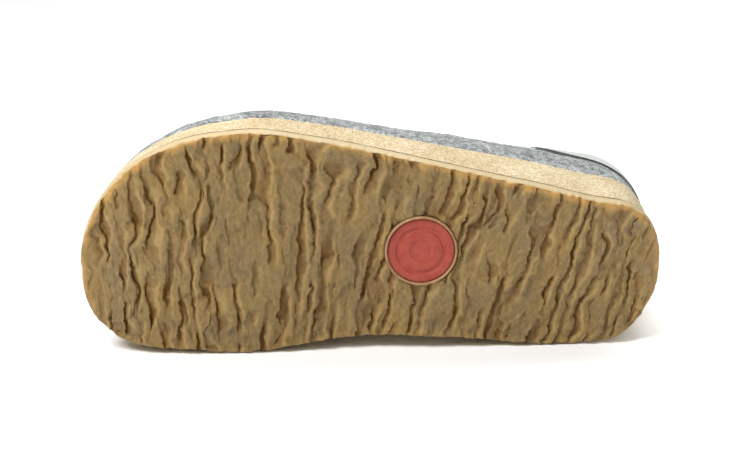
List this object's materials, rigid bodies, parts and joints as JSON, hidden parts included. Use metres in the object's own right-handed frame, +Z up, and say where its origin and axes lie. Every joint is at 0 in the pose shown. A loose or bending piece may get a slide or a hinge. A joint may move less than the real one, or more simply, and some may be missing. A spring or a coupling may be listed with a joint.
{
  "type": "felt slipper",
  "caption": "Closed felt slipper with a cork footbed and a bark-textured rubber sole, lying on its inner side.",
  "frame": {"origin": "centre of the bounding box at its lowest plane, the floor that the shoe lies on", "axes": "+X from the toe to the heel, +Y away from the tread, the way the shoe would stand up, +Z up from the floor to the outer side"},
  "size_m": [0.2734, 0.0996, 0.1088],
  "materials": {
    "rubber": "matte honey-brown crepe with bark relief",
    "badge_tan": "satin",
    "badge_red": "satin",
    "cork": "fine grained cork",
    "lining": "soft felt",
    "felt": "heathered wool felt",
    "pale_felt": "smooth pale felt",
    "piping": "matt woven edging"
  },
  "bodies": {
    "root": {"outsole": "rubber", "badge_ring": "badge_tan", "badge_disc": "badge_red", "midsole": "cork", "insole": "lining", "upper": "felt", "heel_counter": "pale_felt", "counter_piping": "piping"}
  },
  "joints": []
}
